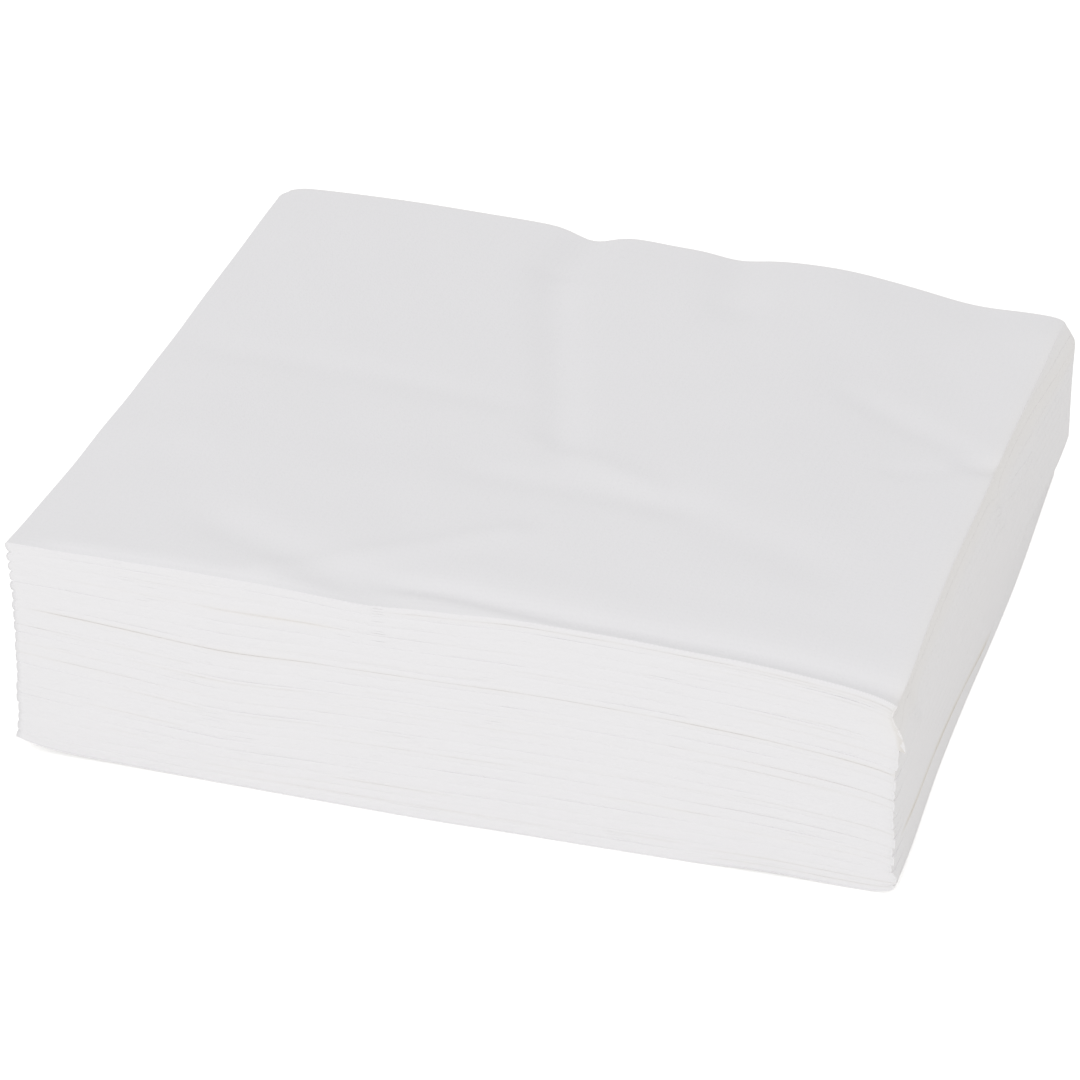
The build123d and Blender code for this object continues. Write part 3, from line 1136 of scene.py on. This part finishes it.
def fold_napkin(sheet_mesh, tree, material, settings, index):
    """Folds one sheet with the node tree, lays it in the stack and says what it stands for."""
    node = NODES[index]
    name = node.replace("napkin", "folded_napkin")
    piece = bpy.data.objects.new(name, sheet_mesh)
    bpy.context.scene.collection.objects.link(piece)
    fold = piece.modifiers.new("Quarter fold", "NODES")
    fold.node_group = tree
    values = {
        "Sheet thickness": settings.sheet_thickness,
        "First fold turn": settings.first_fold_turn,
        "Second fold turn": settings.second_fold_turn,
        "Layer height": MM,
        "Fold squareness": settings.fold_squareness,
        "Material": material,
    }
    for item in tree.interface.items_tree:
        if item.in_out == "INPUT" and item.name in values:
            fold[item.identifier] = values[item.name]
    bpy.context.view_layer.update()
    folded = piece.evaluated_get(bpy.context.evaluated_depsgraph_get())
    mesh = bpy.data.meshes.new_from_object(folded)
    piece.modifiers.remove(fold)
    piece.data = mesh
    mesh.name = name
    marks = read_vectors(mesh.attributes["sheet"].data, "vector")
    napkin = LaidNapkin(read_vectors(mesh.vertices, "co"), marks, index, settings)
    mesh.vertices.foreach_set("co", (napkin.lay() * MM).astype(np.float32).ravel())
    # The depth and gap values carry the painted warm shade and the painted dark shade
    add_values(mesh, "depth", np.maximum(depth_shade(marks, index), napkin.warm))
    add_values(mesh, "gap", napkin.dark)
    mesh.update()
    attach(piece, BODY)
    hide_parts(node)
    below = [NODES[index - 1].replace("napkin", "folded_napkin")] if index else []


def shown_ray(tree):
    """One where the camera sees a surface, straight, in a reflection or through glass."""
    path = tree.nodes.new("ShaderNodeLightPath")
    seen = Field(tree, path.outputs["Is Camera Ray"])
    seen = seen.math("MAXIMUM", Field(tree, path.outputs["Is Glossy Ray"]))
    return seen.math("MAXIMUM", Field(tree, path.outputs["Is Transmission Ray"]))


def make_floor(settings):
    """A pale floor that looks white and keeps the shadow of the stack."""
    mesh = bpy.data.meshes.new("floor")
    corners = ((-1, -1), (1, -1), (1, 1), (-1, 1))
    mesh.from_pydata([(x * FLOOR_HALF, y * FLOOR_HALF, FLOOR_LEVEL) for x, y in corners], [], [(0, 1, 2, 3)])
    floor = bpy.data.objects.new("floor", mesh)
    bpy.context.scene.collection.objects.link(floor)
    material = bpy.data.materials.new("Pale floor")
    material.use_nodes = True
    tree = material.node_tree
    shader = tree.nodes["Principled BSDF"]
    shader.inputs["Base Color"].default_value = opaque(settings.floor_colour)
    set_plain(shader, FLOOR_FINISH)
    join(tree, shown_ray(tree) * FLOOR_GLOW, shader.inputs["Emission Strength"])
    mesh.materials.append(material)


def make_light(settings):
    """Even light from the room, and one wide soft light low in front."""
    world = bpy.data.worlds.new("Room")
    world.use_nodes = True
    bpy.context.scene.world = world
    tree = world.node_tree
    even = tree.nodes["Background"]
    even.inputs["Color"].default_value = WHITE
    strength = shown_ray(tree) * (1 - settings.world_strength) + settings.world_strength
    join(tree, strength, even.inputs["Strength"])
    lamp = bpy.data.lights.new("Key", "AREA")
    lamp.shape = "RECTANGLE"
    lamp.size, lamp.size_y = KEY_SIZE
    lamp.energy = settings.key_power
    key = bpy.data.objects.new("Key", lamp)
    bpy.context.scene.collection.objects.link(key)
    key.location = KEY_PLACE
    key.rotation_euler = (Vector(KEY_TARGET) - key.location).to_track_quat("-Z", "Y").to_euler()


def make_camera(settings):
    """Camera at the viewing angle of the picture."""
    camera = bpy.data.objects.new("Camera", bpy.data.cameras.new("Camera"))
    bpy.context.scene.collection.objects.link(camera)
    camera.data.lens = settings.lens
    camera.data.sensor_width = SENSOR_WIDTH
    camera.data.clip_start = CLIP_START
    eye = Vector(settings.eye)
    away = (eye - Vector(settings.look_at)).normalized()
    right = Vector((0, 0, 1)).cross(away).normalized()
    up = away.cross(right)
    turned_right = math.cos(settings.roll) * right + math.sin(settings.roll) * up
    turned_up = math.cos(settings.roll) * up - math.sin(settings.roll) * right
    axes = Matrix((turned_right, turned_up, away)).transposed()
    camera.matrix_world = Matrix.Translation(eye) @ axes.to_4x4()
    bpy.context.scene.camera = camera


class NAPKINS_OT_stack(bpy.types.Operator):
    """Fold the napkins and lay them on each other"""

    bl_idname = "napkins.stack"
    bl_label = "Fold and stack the napkins"

    def execute(self, context):
        settings = context.scene.napkin_settings
        tree = quarter_fold_tree()
        material = tissue_material(settings)
        thickness = settings.sheet_thickness
        turns = (settings.second_fold_turn, settings.first_fold_turn)
        pressed = flat_sheet("pressed_sheet", thickness, turns, CLOSE_STEP, WIDE_STEP, WIDE_STEP)
        creased = flat_sheet("creased_sheet", thickness, turns, FINE_STEP, MIDDLE_STEP, MIDDLE_STEP)
        shown = flat_sheet("shown_sheet", thickness, turns, FINE_STEP, MIDDLE_STEP, CLOSE_STEP)
        upper = [creased] * CREASED_NAPKINS + [shown]
        sheets = [pressed] * (len(NODES) - len(upper)) + upper
        for index, sheet in enumerate(sheets):
            fold_napkin(sheet, tree, material, settings, index)
        return {"FINISHED"}


class NAPKINS_OT_stage(bpy.types.Operator):
    """Make the floor, the light and the camera"""

    bl_idname = "napkins.stage"
    bl_label = "Make the stage"

    def execute(self, context):
        settings = context.scene.napkin_stage_settings
        make_floor(settings)
        make_light(settings)
        make_camera(settings)
        context.scene.view_settings.view_transform = "Standard"
        return {"FINISHED"}


class NAPKINS_PT_panel(bpy.types.Panel):
    """Sizes and colours of the stack of napkins"""

    bl_idname = "NAPKINS_PT_panel"
    bl_label = "Stack of napkins"
    bl_space_type = "VIEW_3D"
    bl_region_type = "UI"
    bl_category = "Napkins"

    def draw(self, context):
        layout = self.layout
        for settings in (context.scene.napkin_settings, context.scene.napkin_stage_settings):
            for name in settings.__annotations__:
                layout.prop(settings, name)
        layout.operator(NAPKINS_OT_stack.bl_idname)
        layout.operator(NAPKINS_OT_stage.bl_idname)


CLASSES = (NapkinSettings, NapkinStageSettings, NAPKINS_OT_stack, NAPKINS_OT_stage, NAPKINS_PT_panel)


def register():
    for cls in CLASSES:
        bpy.utils.register_class(cls)
    bpy.types.Scene.napkin_settings = bpy.props.PointerProperty(type=NapkinSettings)
    bpy.types.Scene.napkin_stage_settings = bpy.props.PointerProperty(type=NapkinStageSettings)


def unregister():
    del bpy.types.Scene.napkin_stage_settings
    del bpy.types.Scene.napkin_settings
    for cls in reversed(CLASSES):
        bpy.utils.unregister_class(cls)


def main():
    register()
    bpy.ops.napkins.stack()
    bpy.ops.napkins.stage()


if __name__ == "__main__":
    main()
